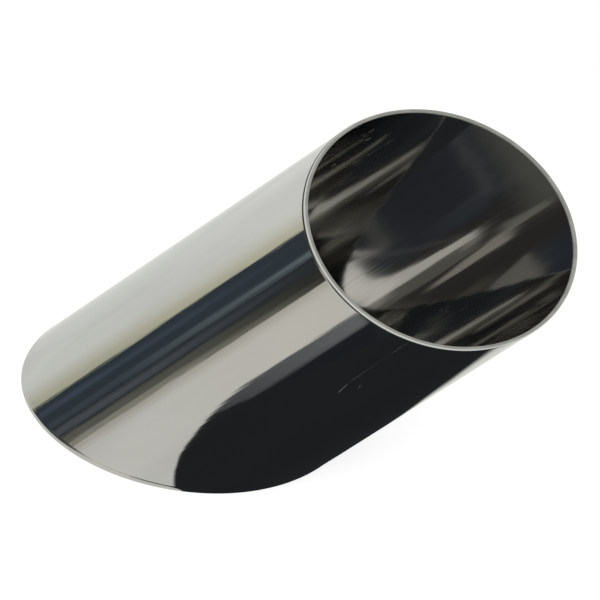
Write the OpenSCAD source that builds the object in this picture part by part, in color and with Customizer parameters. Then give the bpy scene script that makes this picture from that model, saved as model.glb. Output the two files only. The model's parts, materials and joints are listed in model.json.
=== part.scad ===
// Exhaust tip: one straight length of round stainless tube with a slanted cut at each end.
// The foot cut lies on the ground plane, so the tube leans over its longer side.
// Origin: where the tube axis meets the foot cut. +Z up, +X the way the tube leans.

/* [Tube] */
// Outside diameter of the tube
tube_d = 76.2; // [50:0.1:102]
// Thickness of the tube wall
wall_t = 1.2; // [0.8:0.1:3]
// Length along the axis, between the middles of the two cuts
axis_len = 90; // [60:1:200]

/* [Cuts] */
// Slant of the foot cut, measured from a square cut
foot_slant = 39; // [0:1:45]
// Slant of the mouth cut, measured from a square cut
mouth_slant = 47; // [0:1:49]
// Turn of the mouth cut about the tube axis, away from the foot cut
mouth_turn = 35; // [0:1:60]

/* [Hidden] */
$fn = 128;

outer_r = tube_d / 2;
bore_r = outer_r - wall_t;
// How far a slanted cut reaches along the axis, each side of its middle
foot_reach = outer_r * tan(foot_slant);
mouth_reach = outer_r * tan(mouth_slant);
// Spare length that the cuts and the drill run past the metal
run_past = wall_t;
blank_start = -foot_reach - run_past;
blank_len = foot_reach + axis_len + mouth_reach + 2 * run_past;
// Width of a block that covers a slanted cut from tip to tip
saw_w = 2 * (outer_r + run_past) / cos(max(foot_slant, mouth_slant));

// Straight tube blank along +Z, longer than the finished part at both ends
module tube_blank() {
    translate([0, 0, blank_start])
        difference() {
            cylinder(r = outer_r, h = blank_len);
            translate([0, 0, -run_past])
                cylinder(r = bore_r, h = blank_len + 2 * run_past);
        }
}

// Block of waste below a cut through the origin, the cut slanting down towards +X
module waste_below(slant, depth) {
    rotate([0, slant, 0])
        translate([-saw_w / 2, -saw_w / 2, -depth])
            cube([saw_w, saw_w, depth]);
}

// The tube on its own axis: the foot cut at the origin and the mouth cut at axis_len
module cut_tube() {
    difference() {
        tube_blank();
        waste_below(-foot_slant, 2 * foot_reach + 4 * run_past);
        translate([0, 0, axis_len])
            rotate([0, 0, mouth_turn])
                mirror([0, 0, 1])
                    waste_below(mouth_slant, 2 * mouth_reach + 4 * run_past);
    }
}

// One piece of mirror-polished tube, leaning over its foot
module slash_cut_tube() {
    color("silver")
        rotate([0, foot_slant, 0])
            cut_tube();
}

slash_cut_tube();
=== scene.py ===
# Mirror-polished exhaust tip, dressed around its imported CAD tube. Lengths are in metres.
import json
import math

import bpy
from mathutils import Matrix, Vector


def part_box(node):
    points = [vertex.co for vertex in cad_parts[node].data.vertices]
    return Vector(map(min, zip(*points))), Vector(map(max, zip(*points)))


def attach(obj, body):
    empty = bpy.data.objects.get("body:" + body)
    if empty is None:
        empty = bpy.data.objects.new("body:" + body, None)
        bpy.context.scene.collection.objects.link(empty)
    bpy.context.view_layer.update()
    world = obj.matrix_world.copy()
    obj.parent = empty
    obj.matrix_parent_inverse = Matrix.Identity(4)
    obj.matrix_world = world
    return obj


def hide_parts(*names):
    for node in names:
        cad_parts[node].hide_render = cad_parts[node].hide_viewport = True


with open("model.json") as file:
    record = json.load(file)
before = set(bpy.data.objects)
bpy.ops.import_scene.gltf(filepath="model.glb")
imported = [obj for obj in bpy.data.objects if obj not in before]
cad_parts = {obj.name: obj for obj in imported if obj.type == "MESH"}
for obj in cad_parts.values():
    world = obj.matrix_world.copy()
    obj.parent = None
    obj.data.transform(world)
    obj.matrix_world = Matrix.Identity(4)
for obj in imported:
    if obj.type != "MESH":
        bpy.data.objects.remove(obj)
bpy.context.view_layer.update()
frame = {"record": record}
mm = 0.001
white = {"Color": [1, 1, 1, 1]}


# small helpers

def hexToLinear(hexColour):
    # sRGB hex to the linear RGBA that shader sockets take
    channels = [int(hexColour[i:i + 2], 16) / 255 for i in (1, 3, 5)]
    return [c / 12.92 if c <= 0.04045 else ((c + 0.055) / 1.055) ** 2.4 for c in channels] + [1]


def addNode(tree, kind, inputs=None, **settings):
    # one node: its settings by name, its inputs as values or as sockets to link from
    node = tree.nodes.new(kind)
    for name, value in settings.items():
        setattr(node, name, value)
    for name, value in (inputs or {}).items():
        if isinstance(value, bpy.types.NodeSocket):
            tree.links.new(value, node.inputs[name])
        else:
            node.inputs[name].default_value = value
    return node


def mathNode(tree, operation, *values):
    return addNode(tree, "ShaderNodeMath", dict(enumerate(values)), operation=operation).outputs[0]


def fade(tree, value, low, high):
    # 0 at low and beyond, 1 at high and beyond, smooth between; low may be the larger
    limits = {"Value": value, "From Min": low, "From Max": high}
    return addNode(tree, "ShaderNodeMapRange", limits, interpolation_type="SMOOTHSTEP").outputs[0]


def mixColour(tree, share, under, over):
    node = addNode(tree, "ShaderNodeMix", {0: share, 6: under, 7: over}, data_type="RGBA")
    return node.outputs[2]


def emptyMaterial(name):
    material = bpy.data.materials.new(name)
    material.use_nodes = True
    material.node_tree.nodes.clear()
    return material, material.node_tree


def meshObject(name, verts, faces, materials):
    mesh = bpy.data.meshes.new(name)
    mesh.from_pydata([tuple(v) for v in verts], [], faces)
    mesh.update()
    obj = bpy.data.objects.new(name, mesh)
    bpy.context.scene.collection.objects.link(obj)
    for material in materials:
        mesh.materials.append(material)
    return obj


# the tube: its radii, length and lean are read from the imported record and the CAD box

tube = {
    "node": "slash_cut_tube",
    "mouthTurn": 35,        # degrees that the mouth cut is turned from the foot cut, as in the CAD
    "mouthSlant": 47,       # degrees from a square cut, as in the CAD
    # each edge of a rim is buffed round: how wide across the wall, and how far along it
    "mouthOuter": (0.30 * mm, 0.30 * mm),
    "mouthInner": (0.62 * mm, 0.7 * mm),
    "footOuter": (0.6 * mm, 1.6 * mm),
    "footInner": (0.15 * mm, 0.15 * mm),
    "neck": 0.07 * mm,      # the wall is dressed back this much behind the lip of the foot rim
    "neckRows": [d * mm for d in (0.12, 0.24, 0.36, 0.6, 1.2, 2, 3, 4.5, 6, 8)],    # and this far up
    "sectors": 540,         # mesh columns around the tube
    "wallRows": 36,         # mesh rows along each wall
    "roundRows": 5,         # rows over each rounded edge
    "edgeRow": 0.3 * mm,    # a close row beside each rounded edge keeps the wall's shading straight
}

boreMount = next(m for m in frame["record"]["mounts"] if m["kind"] == "bore")
axisDir = -Vector(boreMount["axis"]).normalized()   # the mount points out of the foot
boreR = boreMount["dims"]["r_mm"] * mm
nodeLow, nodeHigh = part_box(tube["node"])
outerR = (nodeHigh[1] - nodeLow[1]) / 2
footSlant = math.atan2(axisDir.x, axisDir.z)
mouthTurn = math.radians(tube["mouthTurn"])
mouthSlant = math.radians(tube["mouthSlant"])
axisLen = boreMount["dims"]["length_mm"] * mm - boreR * (math.tan(footSlant) + math.tan(mouthSlant))
downhill = Vector((math.cos(footSlant), 0, -math.sin(footSlant)))   # across the axis, down the lean
sideways = Vector((0, 1, 0))
print("tube: outer radius %.2f mm, bore %.2f mm, axis %.2f mm" % (outerR / mm, boreR / mm, axisLen / mm))


def tubePoint(radius, angle, along):
    across = math.cos(angle) * downhill + math.sin(angle) * sideways
    return radius * across + along * axisDir


def footCutAt(radius, angle):
    return radius * math.cos(angle) * math.tan(footSlant)


def mouthCutAt(radius, angle):
    return axisLen + radius * math.cos(angle - mouthTurn) * math.tan(mouthSlant)


def rimProfile(outerRound, innerRound):
    # across the wall at a rim, outer wall to inner: (radius, how far short of the cut plane)
    rows = tube["roundRows"]
    turns = [i / rows * math.pi / 2 for i in range(rows + 1)]
    wide, long = outerRound
    outer = [(outerR - wide * (1 - math.cos(t)), long * (1 - math.sin(t))) for t in turns]
    wide, long = innerRound
    inner = [(boreR + wide * (1 - math.sin(t)), long * (1 - math.cos(t))) for t in turns]
    return outer + inner


def wallRows(start, end):
    # distances along one wall, with a close row beside each rim
    step = tube["edgeRow"] if end > start else -tube["edgeRow"]
    rows = tube["wallRows"]
    return [start + step] + [start + (end - start) * i / rows for i in range(1, rows)] + [end - step]


def neckAt(distance):
    # how far the wall is dressed back, this far above the lip
    low, high = tube["neckRows"][1], tube["neckRows"][-1]
    fall = (high - distance) / (high - low)
    return tube["neck"] * (distance / low if distance < low else fall * fall * (3 - 2 * fall))


def buildTube(materials):
    mouthRim = rimProfile(tube["mouthOuter"], tube["mouthInner"])
    footRim = rimProfile(tube["footOuter"], tube["footInner"])
    sectors = tube["sectors"]
    columns = []
    for i in range(sectors):
        angle = 2 * math.pi * i / sectors
        # over the mouth rim, down the bore, over the foot rim and back up the outer wall
        mouthRing = [(r, mouthCutAt(r, angle) - short) for r, short in mouthRim]
        footRing = [(r, footCutAt(r, angle) + short) for r, short in reversed(footRim)]
        bore = [(boreR, along) for along in wallRows(mouthRing[-1][1], footRing[0][1])]
        lip, neckTop = footRing[-1][1], footRing[-1][1] + tube["neckRows"][-1]
        wall = [(outerR - neckAt(up), lip + up) for up in tube["neckRows"]]
        wall += [(outerR, along) for along in wallRows(neckTop, mouthRing[0][1])]
        ring = mouthRing + bore + footRing + wall
        columns.append([tubePoint(r, angle, along) for r, along in ring])
    count = len(columns[0])
    verts = [point for column in columns for point in column]
    faces = []
    for i in range(sectors):
        j = (i + 1) % sectors
        for k in range(count):
            m = (k + 1) % count
            faces.append((i * count + k, i * count + m, j * count + m, j * count + k))
    piece = meshObject("polished_tube", verts, faces, materials)
    # the mouth rim is linished over to the bore and the foot rim on its flat, the bore is flap polished,
    # and the rest is mirror-polished
    flat, boreStart = tube["roundRows"], len(mouthRim) - 1
    footStart = len(mouthRim) + tube["wallRows"] + 1
    footFlat = footStart + len(footRim) - 2 - flat
    for index, polygon in enumerate(piece.data.polygons):
        row = index % count
        polygon.use_smooth = True
        linished = flat <= row < boreStart or row == footFlat
        polygon.material_index = 1 if linished else 2 if boreStart <= row < footStart else 0
    return piece


# materials of the part

polishedSteel = {
    "colour": "#C6C6C3",    # 304 stainless reflects a little over half of the light, near neutral
    "worn": "#BFBFBD",      # and a shade less where the buffing was uneven
    # long fine lines from polishing along the tube, and the slight waves of rolled sheet:
    # how wide, how long and how deep
    "lines": (0.45 * mm, 14 * mm, 0.007 * mm),
    "waves": (12 * mm, 60 * mm, 0.09 * mm),
    "roughness": (0.045, 0.065),    # buffed to a mirror
    # levels of the noise that the roughness and the wear run between
    "lineRange": (0.3, 0.7),
    "waveRange": (0.35, 0.65),
    # handling scratches, each with a painted glint, from and to: degrees round the tube and mm along it, and
    # how wide in mm
    "scratches": [((253.9, 35.9), (252.6, 40.1), 0.6), ((252.6, 38.5), (251.6, 60), 0.55),
                  ((257.1, 40.5), (256.2, 42.2), 0.6)],
}

boreSteel = polishedSteel | {
    "lines": (0.8 * mm, 25 * mm, 0.008 * mm),
    "waves": (9 * mm, 35 * mm, 0.09 * mm),
    "roughness": (0.065, 0.095),    # the bore is only polished with a flap wheel, so it mirrors more softly
    "scratches": [((122.1, 79.8), (119.9, 85.6), 0.9), ((115.1, 81.0), (114.9, 83.5), 0.7),
                  ((108.3, 63.8), (104.1, 78.4), 0.5), ((104.1, 78.4), (102.6, 93.0), 0.3),
                  ((113.7, 68.3), (112.1, 70.3), 0.5)],
}

linishedEdge = polishedSteel | {
    "colour": "#A0A09C",
    "worn": "#92928E",
    "lines": (0.25 * mm, 2 * mm, 0.01 * mm),    # belt marks, drawn coarser than the 0.05 mm of a real belt
    "waves": (6 * mm, 6 * mm, 0.01 * mm),
    "roughness": (0.36, 0.46),      # a belt-finished edge spreads its reflection
    "scratches": [],
}

# a scratch is rougher than the polish and scatters the light that the polish mirrors away, and it is painted
# lighter than the polish: a painted glint
scratchAndPaintedGlint = {
    # the colour of a scratch, lighter than the polish: a painted glint
    "colour": "#E4E4E2",
    "rougher": 0.5,         # added to the roughness of the polish
    "broken": (0.2, 0.6),   # it shows where the noise of the polishing lines is past these levels
    "ends": (0.15, 0.7),    # shares of its length where it is all there, and where it starts to fade
}


def alongTube(tree, wide, long):
    # noise drawn out along the tube, from 0 to 1
    place = addNode(tree, "ShaderNodeTexCoord").outputs["Object"]
    stretched = addNode(tree, "ShaderNodeMapping", {
        "Vector": place,
        "Rotation": (0, footSlant, 0),
        "Scale": (wide, wide, long),
    }, vector_type="TEXTURE").outputs[0]
    return addNode(tree, "ShaderNodeTexNoise", {"Vector": stretched, "Scale": 1.0, "Detail": 2.0}).outputs[0]


def scratchMask(tree, across, along, start, end, wide):
    # 1 on a straight scratch between two places on the unrolled wall, in mm
    start, end = [Vector((math.radians(angle) * outerR / mm, reach)) for angle, reach in (start, end)]
    run = (end - start).normalized()
    right = mathNode(tree, "SUBTRACT", across, start.x)
    up = mathNode(tree, "SUBTRACT", along, start.y)
    done = mathNode(tree, "MULTIPLY_ADD", right, run.x, mathNode(tree, "MULTIPLY", up, run.y))
    off = mathNode(tree, "MULTIPLY_ADD", right, run.y, mathNode(tree, "MULTIPLY", up, -run.x))
    near = fade(tree, mathNode(tree, "ABSOLUTE", off), wide / 2, 0.0)
    length = (end - start).length
    full, fading = [share * length for share in scratchAndPaintedGlint["ends"]]
    inside = mathNode(tree, "MULTIPLY", fade(tree, done, 0.0, full), fade(tree, done, length, fading))
    return mathNode(tree, "MULTIPLY", near, inside)


def scratched(tree, scratchesWithPaintedGlint):
    # all the scratches of one finish, from 0 to 1, where the steel is rougher and painted lighter, a painted
    # glint
    place = addNode(tree, "ShaderNodeTexCoord").outputs["Object"]
    turned = addNode(tree, "ShaderNodeMapping", {"Vector": place, "Rotation": (0, footSlant, 0)},
                     vector_type="TEXTURE").outputs[0]
    x, y, z = addNode(tree, "ShaderNodeSeparateXYZ", {0: turned}).outputs
    angle = mathNode(tree, "FLOORED_MODULO", mathNode(tree, "ARCTAN2", y, x), 2 * math.pi)
    across = mathNode(tree, "MULTIPLY", angle, outerR / mm)
    along = mathNode(tree, "DIVIDE", z, mm)
    masks = [scratchMask(tree, across, along, *mark) for mark in scratchesWithPaintedGlint]
    total = masks[0]
    for mask in masks[1:]:
        total = mathNode(tree, "MAXIMUM", total, mask)
    return total


def stainless(name, finish):
    material, tree = emptyMaterial(name)
    out = addNode(tree, "ShaderNodeOutputMaterial")
    wide, long, depth = finish["waves"]
    waves = alongTube(tree, wide, long)
    normal = addNode(tree, "ShaderNodeBump", {
        "Height": waves, "Strength": 1.0, "Distance": depth,
    }).outputs[0]
    wide, long, depth = finish["lines"]
    lines = alongTube(tree, wide, long)
    normal = addNode(tree, "ShaderNodeBump", {
        "Height": lines, "Strength": 1.0, "Distance": depth, "Normal": normal,
    }).outputs[0]
    low, high = finish["roughness"]
    roughness = mathNode(tree, "MULTIPLY_ADD", fade(tree, lines, *finish["lineRange"]), high - low, low)
    wear = fade(tree, waves, *finish["waveRange"])
    colour = mixColour(tree, wear, hexToLinear(finish["colour"]), hexToLinear(finish["worn"]))
    if finish["scratches"]:
        broken = fade(tree, lines, *scratchAndPaintedGlint["broken"])
        scratchesWithPaintedGlint = mathNode(tree, "MULTIPLY", scratched(tree, finish["scratches"]), broken)
        roughness = mathNode(tree, "MULTIPLY_ADD", scratchesWithPaintedGlint, scratchAndPaintedGlint["rougher"], roughness)
        # where the scratches are, the colour is painted lighter: a painted glint over their added roughness
        colour = mixColour(tree, scratchesWithPaintedGlint, colour, hexToLinear(scratchAndPaintedGlint["colour"]))
    shader = addNode(tree, "ShaderNodeBsdfPrincipled", {
        "Base Color": colour,
        "Metallic": 1.0,
        "Roughness": roughness,
        "Normal": normal,
    })
    tree.links.new(shader.outputs["BSDF"], out.inputs["Surface"])
    return material


outside = stainless("mirror polished stainless steel", polishedSteel)
edge = stainless("linished stainless cut edge", linishedEdge)
inside = stainless("flap polished stainless steel", boreSteel)
polishedTube = buildTube([outside, edge, inside])
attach(polishedTube, "root")
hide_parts(tube["node"])
print("tube mesh: %d faces" % len(polishedTube.data.polygons))


# camera at the photograph's viewing angle

camera = {
    "place": Vector((-65.99, -119.84, 118.99)) * mm,
    "right": Vector((0.85991, -0.34442, 0.37673)),
    "forward": Vector((0.50158, 0.70709, -0.49845)),
    "lens": 36,             # mm, on a sensor of the same width: 600 px over a 600 px picture
    "sensor": 36,
    "clip": (0.01, 100),
}


def placeCamera():
    forward = camera["forward"].normalized()
    right = (camera["right"] - camera["right"].dot(forward) * forward).normalized()
    up = right.cross(forward)
    data = bpy.data.cameras.new("photo camera")
    data.sensor_width = camera["sensor"]
    data.sensor_fit = "HORIZONTAL"
    data.lens = camera["lens"]
    data.clip_start, data.clip_end = camera["clip"]
    obj = bpy.data.objects.new("photo camera", data)
    bpy.context.scene.collection.objects.link(obj)
    turn = Matrix((right, up, -forward)).transposed()
    obj.matrix_world = Matrix.Translation(camera["place"]) @ turn.to_4x4()
    bpy.context.scene.camera = obj


placeCamera()
print("camera placed")


# the studio: a white floor, a soft lamp, and the tent and mat that the mirror finish reflects

studio = {
    "floorSize": 12.0,
    "floorColour": "#C8C8C8",
    "floorGlow": 0.70,      # what the camera sees of the floor before lamp light is added
    "floorMirrored": ("#EBEAE5", "#F6F8F4"),    # what the steel sees of it, towards -Y and towards +Y
    "floorBlend": 100 * mm,     # how far out, each way, the first goes over to the second
    "worldLevel": 0.55,     # of the light on the floor; the camera and the steel see full white
    "softbox": {"place": (-0.3, -0.4, 1.6), "size": 1.4, "power": 9},
    "glossyBounces": 12,    # light runs many times round the inside of a mirror tube
}


def seenDirectly(tree):
    # 1 for camera, glossy and transmission rays
    rays = addNode(tree, "ShaderNodeLightPath").outputs
    seen = mathNode(tree, "MAXIMUM", rays["Is Camera Ray"], rays["Is Glossy Ray"])
    return mathNode(tree, "MAXIMUM", seen, rays["Is Transmission Ray"])


def floorMaterial():
    material, tree = emptyMaterial("pale studio floor")
    out = addNode(tree, "ShaderNodeOutputMaterial")
    paint = addNode(tree, "ShaderNodeBsdfDiffuse", {"Color": hexToLinear(studio["floorColour"])}).outputs[0]
    glow = addNode(tree, "ShaderNodeEmission", white | {"Strength": studio["floorGlow"]}).outputs[0]
    both = addNode(tree, "ShaderNodeAddShader", {0: paint, 1: glow}).outputs[0]
    mix = addNode(tree, "ShaderNodeMixShader", {0: seenDirectly(tree), 1: paint, 2: both}).outputs[0]
    place = addNode(tree, "ShaderNodeTexCoord").outputs["Object"]
    y = addNode(tree, "ShaderNodeSeparateXYZ", {0: place}).outputs["Y"]
    near, far = studio["floorMirrored"]
    across = fade(tree, y, -studio["floorBlend"], studio["floorBlend"])
    mirrored = mixColour(tree, across, hexToLinear(near), hexToLinear(far))
    mirrored = addNode(tree, "ShaderNodeEmission", {"Color": mirrored, "Strength": 1.0}).outputs[0]
    glossy = addNode(tree, "ShaderNodeLightPath").outputs["Is Glossy Ray"]
    mix = addNode(tree, "ShaderNodeMixShader", {0: glossy, 1: mix, 2: mirrored}).outputs[0]
    tree.links.new(mix, out.inputs["Surface"])
    return material


def buildFloor():
    half = studio["floorSize"] / 2
    verts = [(-half, -half, 0), (half, -half, 0), (half, half, 0), (-half, half, 0)]
    floor = meshObject("studio_floor", verts, [(0, 1, 2, 3)], [floorMaterial()])


def whiteWorld():
    world = bpy.data.worlds.new("white studio")
    bpy.context.scene.world = world
    world.use_nodes = True
    tree = world.node_tree
    tree.nodes.clear()
    out = addNode(tree, "ShaderNodeOutputWorld")
    low = addNode(tree, "ShaderNodeBackground", white | {"Strength": studio["worldLevel"]}).outputs[0]
    full = addNode(tree, "ShaderNodeBackground", white | {"Strength": 1.0}).outputs[0]
    mix = addNode(tree, "ShaderNodeMixShader", {0: seenDirectly(tree), 1: low, 2: full}).outputs[0]
    tree.links.new(mix, out.inputs["Surface"])


def softLamp():
    box = studio["softbox"]
    data = bpy.data.lights.new("overhead softbox", "AREA")
    data.energy = box["power"]
    data.shape = "SQUARE"
    data.size = box["size"]
    obj = bpy.data.objects.new("overhead softbox", data)
    bpy.context.scene.collection.objects.link(obj)
    obj.location = box["place"]
    obj.rotation_euler = (-Vector(box["place"])).to_track_quat("-Z", "Y").to_euler()
    obj.visible_glossy = False      # the steel reflects the tent, the floor and the mat instead


def reflectedOnly(obj):
    # studio cloth that only mirror reflections see
    obj.visible_camera = False
    obj.visible_diffuse = False
    obj.visible_shadow = False
    obj.visible_transmission = False
    obj.visible_volume_scatter = False


# The tent is a sphere about the tube's axis. Its cloth is laid out by angle, in degrees round the axis
# (0 down the lean, 180 straight up), and by share, which is 0 square to the axis, 1 past the mouth and
# -1 past the foot. A ray off the outer wall keeps its share, so each strip runs the tube's whole length.

tent = {
    "radius": 20.0,
    "cloth": ("#FDFEFB", "#F2F4F0"),    # at share 0 and at farShare
    "farShare": -0.38,
    "strips": [     # two colours as above, first and last angle, how softly each side fades
        ("#F0F1E6", "#E4E4D8", 146, 175, 8, 1),         # light cloth going over to cream
        ("#E3E1CA", "#D0CFB9", 155, 175, 5, 1),
        ("#D0CFC4", "#CBC8BD", 208, 270, 0.8, 1),       # edge of the light cloth
        ("#E9E6DC", "#EDECE7", 213.5, 270, 6, 1),       # light cloth
        ("#3B444C", "#3C454D", 162.7, 208, 0.8, 0.8),   # dark gap overhead
        ("#3B444C", "#4D5868", 169.5, 173.5, 1.5, 1.5),
        ("#707B80", "#4A545C", 181.5, 186.5, 1.2, 1.5),  # cold streak in the gap
        ("#34383B", "#363B3F", 187.5, 208, 1.5, 0.8),
        ("#33383C", "#5A6068", 189.5, 195, 1.5, 1.5),
        ("#2E2F2E", "#6E6E67", 197.5, 208, 1.5, 0.8),   # the gap's brown side
        ("#393A36", "#A5A497", 204.2, 208, 1.2, 0.8),
    ],
    # grey strip before the black: its two colours, where it ends and how softly
    "band": ("#7B7D80", "#34373B", 254.5, 2.0),
    "black": "#25282C",
    # the black has one rounded corner, an ellipse of angle and share
    "corner": {"angle": 285, "share": -0.20, "angleSize": 42.5, "shareSize": 0.19, "soft": 0.03},
}

# The dark canopy over the mouth, which the bore reflects. Each patch of it has a left and a right side
# that run from an angle at its low share to another at its high share, and the softness of its sides.
canopy = {
    "start": (165, 0.0014),     # it starts at share 0, and higher by this much a degree below this angle
    "softStart": 0.012,
    "openFrom": (0.42, 0.62),   # between these shares the cloth goes over to light again
    "dark": "#33312F",
    "patches": [
        # colour, low share, high share, left side, right side, soft sides, soft ends
        ("#2B2E33", -0.05, 0.60, (214, 214), (330, 330), (10, 20), (0.01, 0.10)),
        ("#2E333A", 0.27, 0.60, (90, 90), (152, 152), (9, 14), (0.02, 0.10)),
        ("#585954", 0.316, 0.60, (185, 185), (330, 330), (14, 20), (0.03, 0.10)),
        ("#56544E", -0.05, 0.20, (60, 60), (232, 120), (9, 9), (0.01, 0.02)),
        ("#47463F", 0.10, 0.21, (146, 148), (156, 158), (2, 2), (0.02, 0.02)),
        ("#6E6B66", 0.14, 0.275, (123, 123), (136, 156), (2, 1.5), (0.02, 0.008)),
        ("#605F58", -0.05, 0.224, (186.5, 187.5), (203, 203), (1.2, 3), (0.01, 0.01)),
        ("#9A978F", -0.05, 0.055, (191, 193), (203, 203), (1.5, 1), (0.01, 0.02)),
        ("#7C7972", -0.05, 0.045, (199.5, 200), (203, 203), (0.7, 0.7), (0.01, 0.01)),
        ("#8F8B84", 0.125, 0.270, (177, 176.5), (180.5, 189), (0.8, 1.3), (0.02, 0.008)),
        ("#74746E", 0.262, 0.338, (184, 185), (195, 190), (1, 1.5), (0.01, 0.012)),
        ("#8F8C84", 0.200, 0.230, (192, 194), (204, 203), (2, 1.5), (0.008, 0.008)),
        ("#363A3F", 0.18, 0.275, (216, 216), (230, 234), (5, 2), (0.04, 0.01)),
        ("#4C4E50", 0.272, 0.287, (224, 224), (330, 330), (6, 20), (0.005, 0.007)),
        ("#5A5853", 0.11, 0.262, (283, 292), (335, 335), (4, 10), (0.03, 0.02)),
        ("#50524E", 0.085, 0.108, (236, 236), (266, 270), (6, 2), (0.008, 0.01)),
    ],
    # the light cloth runs up into it: to a low top, and in one curve up a narrow, greyer column
    "flood": {"colour": "#E0DED7", "top": 0.042, "climb": 0.185, "angle": 203.5, "run": 4.6,
              "left": (197.2, 199.2), "right": (245.5, 243), "soft": 0.006,
              "column": "#C6C4BC", "columnFrom": (0.05, 0.10)},
    # a thin bright arc beside it, faint at first, which fades out between two distances from its line
    "arc": {"colour": "#BAB8B0", "low": 0.005, "climb": 0.195, "angle": 208, "run": 29.0,
            "fades": (0.0096, 0.0024), "ends": (204, 252), "softEnds": (3, 1),
            "faint": 0.12, "bright": (232, 247)},
}


def between(tree, value, first, last, softFirst, softLast):
    rise = fade(tree, value, first - softFirst, first + softFirst)
    fall = fade(tree, value, last + softLast, last - softLast)
    return mathNode(tree, "MULTIPLY", rise, fall)


def product(tree, first, *others):
    for value in others:
        first = mathNode(tree, "MULTIPLY", first, value)
    return first


def pastSide(tree, angle, share, low, high, side, soft):
    # 1 past a slanted side, which runs from one angle at the low share to another at the high share
    slope = (side[1] - side[0]) / (high - low)
    line = mathNode(tree, "MULTIPLY_ADD", share, slope, side[0] - slope * low)
    return fade(tree, mathNode(tree, "SUBTRACT", angle, line), -soft, soft)


def fallingCurve(tree, angle, shape, height, base):
    # base + height, falling off as the angle runs past shape["angle"]
    past = mathNode(tree, "MAXIMUM", mathNode(tree, "SUBTRACT", angle, shape["angle"]), 0.0)
    fall = mathNode(tree, "EXPONENT", mathNode(tree, "DIVIDE", past, -shape["run"]))
    return mathNode(tree, "MULTIPLY_ADD", fall, height, base)


def paintStrips(tree, angle, share):
    far = mathNode(tree, "DIVIDE", share, tent["farShare"])
    far = addNode(tree, "ShaderNodeClamp", {"Value": far}).outputs[0]
    near, distant = tent["cloth"]
    colour = mixColour(tree, far, hexToLinear(near), hexToLinear(distant))
    for near, distant, first, last, softFirst, softLast in tent["strips"]:
        strip = mixColour(tree, far, hexToLinear(near), hexToLinear(distant))
        colour = mixColour(tree, between(tree, angle, first, last, softFirst, softLast), colour, strip)
    # the grey strip and the black past it, cut to their rounded corner
    near, distant, end, soft = tent["band"]
    band = mixColour(tree, far, hexToLinear(near), hexToLinear(distant))
    dark = mixColour(tree, fade(tree, angle, end - soft, end + soft), band, hexToLinear(tent["black"]))
    corner = tent["corner"]
    across = mathNode(tree, "SUBTRACT", angle, corner["angle"])
    across = mathNode(tree, "DIVIDE", across, corner["angleSize"])
    across = mathNode(tree, "MINIMUM", across, 0.0)     # rounded on its first side only
    down = mathNode(tree, "SUBTRACT", corner["share"], share)
    down = mathNode(tree, "DIVIDE", down, corner["shareSize"])
    down = mathNode(tree, "MAXIMUM", down, 0.0)
    squared = mathNode(tree, "ADD", product(tree, across, across), product(tree, down, down))
    covered = fade(tree, squared, 1 + corner["soft"], 1 - corner["soft"])
    return mixColour(tree, covered, colour, dark)


def paintCanopy(tree, angle, share, colour):
    cloth = hexToLinear(canopy["dark"])
    for patch, low, high, left, right, softSides, softEnds in canopy["patches"]:
        inLeft = pastSide(tree, angle, share, low, high, left, softSides[0])
        inRight = pastSide(tree, angle, share, low, high, right, -softSides[1])
        mask = product(tree, between(tree, share, low, high, *softEnds), inLeft, inRight)
        cloth = mixColour(tree, mask, cloth, hexToLinear(patch))
    flood = canopy["flood"]
    top = fallingCurve(tree, angle, flood, flood["climb"], flood["top"])
    under = fade(tree, mathNode(tree, "SUBTRACT", share, top), flood["soft"], -flood["soft"])
    mask = product(tree, under, fade(tree, angle, *flood["left"]), fade(tree, angle, *flood["right"]))
    inColumn = fade(tree, share, *flood["columnFrom"])
    tint = mixColour(tree, inColumn, hexToLinear(flood["colour"]), hexToLinear(flood["column"]))
    cloth = mixColour(tree, mask, cloth, tint)
    arc = canopy["arc"]
    line = fallingCurve(tree, angle, arc, arc["climb"], arc["low"])
    off = mathNode(tree, "ABSOLUTE", mathNode(tree, "SUBTRACT", share, line))
    bright = fade(tree, angle, *arc["bright"])
    strength = mathNode(tree, "MULTIPLY_ADD", bright, 1 - arc["faint"], arc["faint"])
    run = between(tree, angle, *arc["ends"], *arc["softEnds"])
    mask = product(tree, fade(tree, off, *arc["fades"]), strength, run)
    cloth = mixColour(tree, mask, cloth, hexToLinear(arc["colour"]))
    # the canopy lies over the strips, and past it the studio is light again
    fromAngle, slope = canopy["start"]
    start = mathNode(tree, "MULTIPLY_ADD", angle, -slope, fromAngle * slope)
    start = mathNode(tree, "MAXIMUM", start, 0.0)
    above = fade(tree, mathNode(tree, "SUBTRACT", share, start), 0.0, canopy["softStart"])
    colour = mixColour(tree, above, colour, cloth)
    opened = fade(tree, share, *canopy["openFrom"])
    return mixColour(tree, opened, colour, hexToLinear(tent["cloth"][0]))


def tentMaterial():
    material, tree = emptyMaterial("light tent cloth")
    out = addNode(tree, "ShaderNodeOutputMaterial")
    place = addNode(tree, "ShaderNodeTexCoord")
    x, y, z = addNode(tree, "ShaderNodeSeparateXYZ", {0: place.outputs["Object"]}).outputs
    share = mathNode(tree, "DIVIDE", z, tent["radius"])
    # measured from the far side, so that the seam of the arctangent lies at 0, under the floor
    farX, farY = [mathNode(tree, "MULTIPLY", value, -1.0) for value in (x, y)]
    turned = mathNode(tree, "ARCTAN2", farY, farX)
    angle = mathNode(tree, "MULTIPLY_ADD", turned, 180 / math.pi, 180.0)
    colour = paintCanopy(tree, angle, share, paintStrips(tree, angle, share))
    glow = addNode(tree, "ShaderNodeEmission", {"Color": colour, "Strength": 1.0})
    tree.links.new(glow.outputs[0], out.inputs["Surface"])
    return material


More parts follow.
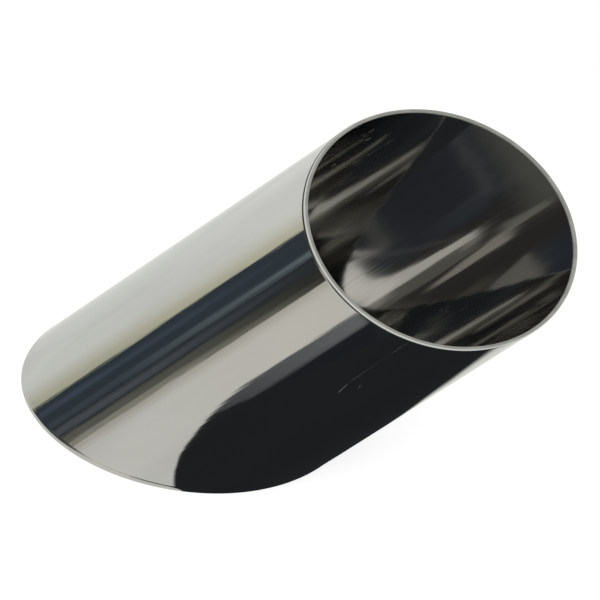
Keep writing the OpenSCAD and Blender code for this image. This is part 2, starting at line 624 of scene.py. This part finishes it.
def buildTent():
    bands, columns = 32, 64
    verts, faces = [], []
    for i in range(bands + 1):
        polar = math.pi * i / bands
        for j in range(columns):
            around = 2 * math.pi * j / columns
            across = math.sin(polar)
            point = Vector((across * math.cos(around), across * math.sin(around), math.cos(polar)))
            verts.append(tent["radius"] * point)
    for i in range(bands):
        for j in range(columns):
            k = (j + 1) % columns
            faces.append((i * columns + j, (i + 1) * columns + j, (i + 1) * columns + k, i * columns + k))
    cloth = meshObject("light_tent", verts, faces, [tentMaterial()])
    cloth.matrix_world = Matrix((downhill, sideways, axisDir)).transposed().to_4x4()
    reflectedOnly(cloth)


# a black mat on the floor, to the right of the tube, with its near edges feathered

blackMat = {
    "colour": "#282A2C",
    "height": 0.2 * mm,
    # outlines in mm on the floor: inside the first the mat is black, and it fades out to the second
    "solid": [(-15.2, -38), (-23.2, -60), (-46, -110), (-89.5, -200), (-213.5, -450), (-562, -1100),
              (-3095, -5990), (5990, -5990), (5990, -3000), (400, -165), (142, -58), (104, -39), (70, -24),
              (40, -14), (10, -20)],
    "faded": [(-16.6, -38), (-24.7, -60), (-48, -110), (-92, -200), (-218, -450), (-569, -1100),
              (-3120, -5990), (5990, -5990), (5990, -2900), (400, -140), (142, -34), (104, -20), (70, -12),
              (40, -6), (10, -12)],
}


def matMaterial():
    material, tree = emptyMaterial("black velvet mat")
    out = addNode(tree, "ShaderNodeOutputMaterial")
    cover = addNode(tree, "ShaderNodeAttribute", attribute_name="cover")
    clear = addNode(tree, "ShaderNodeBsdfTransparent").outputs[0]
    velvet = addNode(tree, "ShaderNodeEmission", {"Color": hexToLinear(blackMat["colour"]), "Strength": 1.0})
    share = fade(tree, cover.outputs["Fac"], 0, 1)
    mix = addNode(tree, "ShaderNodeMixShader", {0: share, 1: clear, 2: velvet.outputs[0]})
    tree.links.new(mix.outputs[0], out.inputs["Surface"])
    return material


def buildMat():
    solid, faded = blackMat["solid"], blackMat["faded"]
    count = len(solid)
    verts = [(x * mm, y * mm, blackMat["height"]) for x, y in solid + faded]
    faces = [tuple(range(count))]
    faces += [(i, (i + 1) % count, count + (i + 1) % count, count + i) for i in range(count)]
    mat = meshObject("velvet_mat", verts, faces, [matMaterial()])
    cover = mat.data.attributes.new("cover", "FLOAT", "POINT")
    for i in range(2 * count):
        cover.data[i].value = 1.0 if i < count else 0.0
    reflectedOnly(mat)


buildFloor()
whiteWorld()
softLamp()
buildTent()
buildMat()
bpy.context.scene.cycles.glossy_bounces = studio["glossyBounces"]
bpy.context.scene.cycles.max_bounces = studio["glossyBounces"]
print("studio built")

bpy.context.scene.view_settings.view_transform = "Standard"
